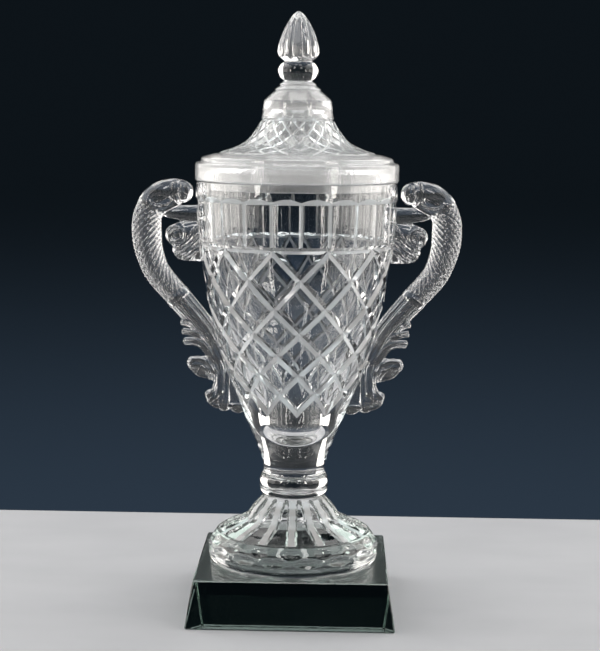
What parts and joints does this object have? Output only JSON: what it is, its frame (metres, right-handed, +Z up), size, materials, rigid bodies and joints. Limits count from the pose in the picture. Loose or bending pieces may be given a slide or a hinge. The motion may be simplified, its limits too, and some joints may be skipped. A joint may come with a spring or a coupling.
{
  "type": "cup trophy",
  "caption": "Lidded urn-shaped cup trophy in clear cut glass with scrolled figural side handles, a fluted foot and a square tapered plinth; the lid lifts off.",
  "frame": {"origin": "centre of the plinth's underside, at the base of the whole object", "axes": "+Z up along the cup's axis, +X towards the right handle, -Y towards the front"},
  "size_m": [0.2452, 0.1508, 0.44],
  "materials": {
    "cut_glass": "clear, polished, with cut facets and flutes",
    "plinth_glass": "clear, polished flat faces with fine chamfers",
    "adhesive": "clear cured film"
  },
  "bodies": {
    "cup": {"plinth": "plinth_glass", "plinth_bond": "adhesive", "foot": "cut_glass", "foot_bond": "adhesive", "stem_collar": "cut_glass", "collar_bond": "adhesive", "bowl": "cut_glass", "handle_right": "cut_glass", "handle_left": "cut_glass", "handle_bond_upper_right": "adhesive", "handle_bond_upper_left": "adhesive", "handle_bond_lower_right": "adhesive", "handle_bond_lower_left": "adhesive"},
    "lid": {"lid": "cut_glass", "knop_bond": "adhesive", "finial_knop": "cut_glass", "bud_bond": "adhesive", "finial_bud": "cut_glass"}
  },
  "joints": [
    {"name": "lid_lift", "type": "slide", "parent": "cup", "child": "lid", "axis": [0, 0, 1], "range_m": [0, 0.12]}
  ]
}
